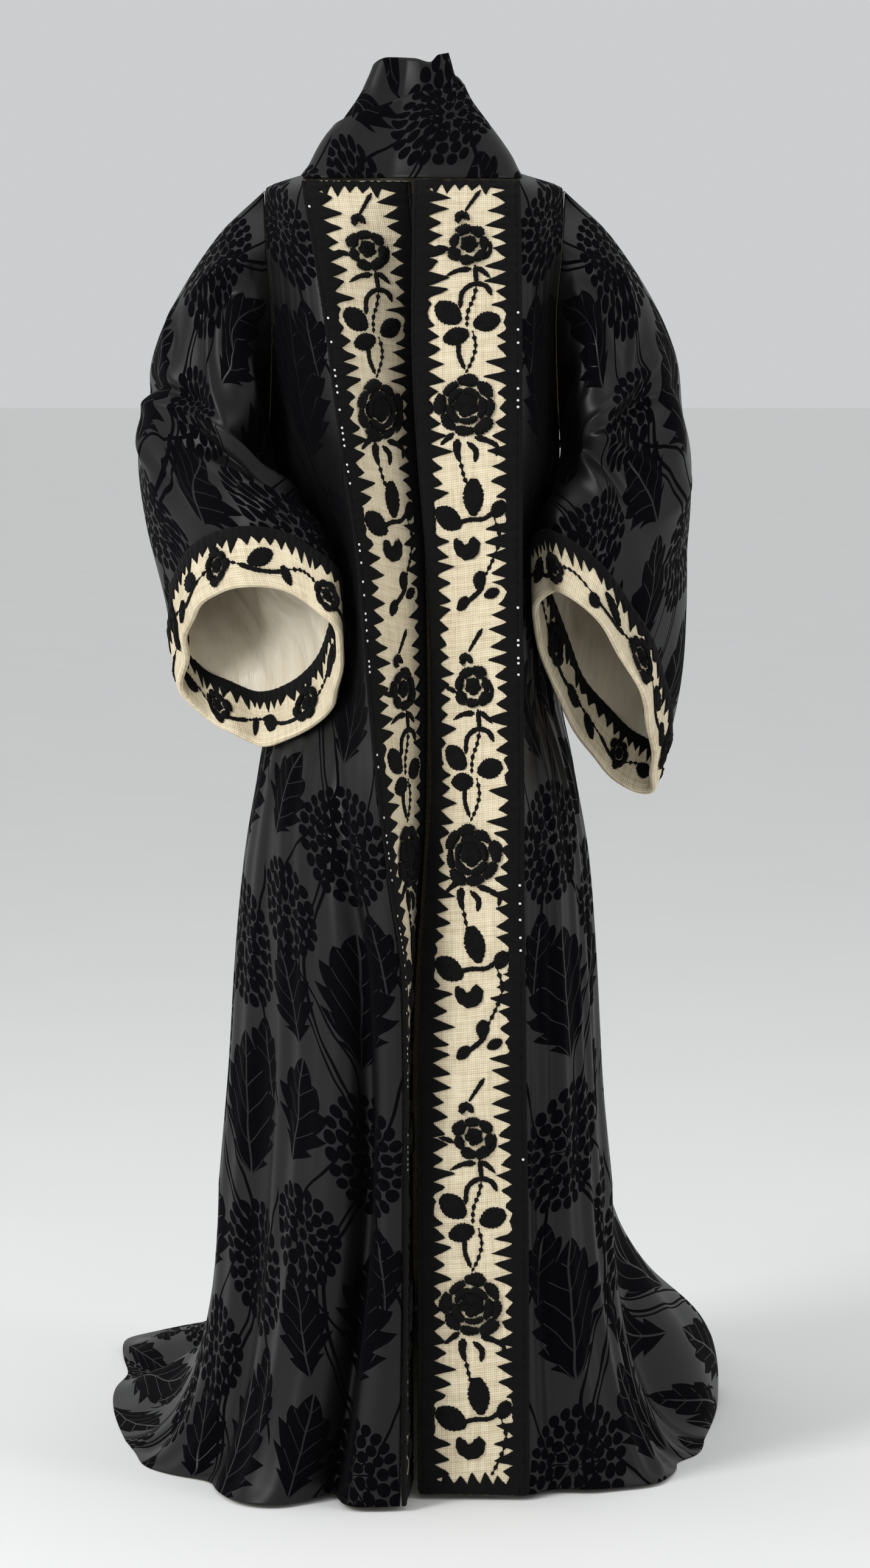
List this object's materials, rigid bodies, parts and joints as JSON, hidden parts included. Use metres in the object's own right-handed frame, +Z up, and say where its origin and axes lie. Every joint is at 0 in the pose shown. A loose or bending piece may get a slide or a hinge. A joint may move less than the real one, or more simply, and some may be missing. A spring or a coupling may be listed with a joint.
{
  "type": "evening coat",
  "caption": "Long evening coat with a wrapped stand collar, bell sleeves, embroidered bands down the fronts and round the cuffs, and a short train.",
  "frame": {"origin": "base of the neck, midway between the shoulders that hold the coat up", "axes": "+Z up, -Y the way the coat faces, +X towards the wearer's left"},
  "size_m": [0.679, 0.9863, 1.474],
  "materials": {
    "velvet": "dark silk satin figured with cut velvet",
    "chenille": "matt black chenille pile",
    "canvas": "matt cream open weave",
    "satin": "ivory satin"
  },
  "bodies": {
    "root": {"back": "velvet", "band_left": "canvas", "band_right": "canvas", "border_left_hem": "chenille", "border_left_inner": "chenille", "border_left_neck": "chenille", "border_left_outer": "chenille", "border_right_hem": "chenille", "border_right_inner": "chenille", "border_right_neck": "chenille", "border_right_outer": "chenille", "collar": "velvet", "cuff_border_left_inner": "chenille", "cuff_border_left_outer": "chenille", "cuff_border_right_inner": "chenille", "cuff_border_right_outer": "chenille", "cuff_left": "canvas", "cuff_right": "canvas", "cuff_rose_left_1": "chenille", "cuff_rose_left_2": "chenille", "cuff_rose_right_1": "chenille", "cuff_rose_right_2": "chenille", "front_left": "velvet", "front_right": "velvet", "leaves_left_1": "chenille", "leaves_left_2": "chenille", "leaves_left_3": "chenille", "leaves_left_4": "chenille", "leaves_left_5": "chenille", "leaves_left_6": "chenille", "leaves_right_1": "chenille", "leaves_right_2": "chenille", "leaves_right_3": "chenille", "leaves_right_4": "chenille", "leaves_right_5": "chenille", "leaves_right_6": "chenille", "lining_left": "satin", "lining_right": "satin", "rose_left_1": "chenille", "rose_left_2": "chenille", "rose_left_3": "chenille", "rose_left_4": "chenille", "rose_left_5": "chenille", "rose_left_6": "chenille", "rose_right_1": "chenille", "rose_right_2": "chenille", "rose_right_3": "chenille", "rose_right_4": "chenille", "rose_right_5": "chenille", "rose_right_6": "chenille", "sleeve_left": "velvet", "sleeve_right": "velvet"}
  },
  "joints": []
}
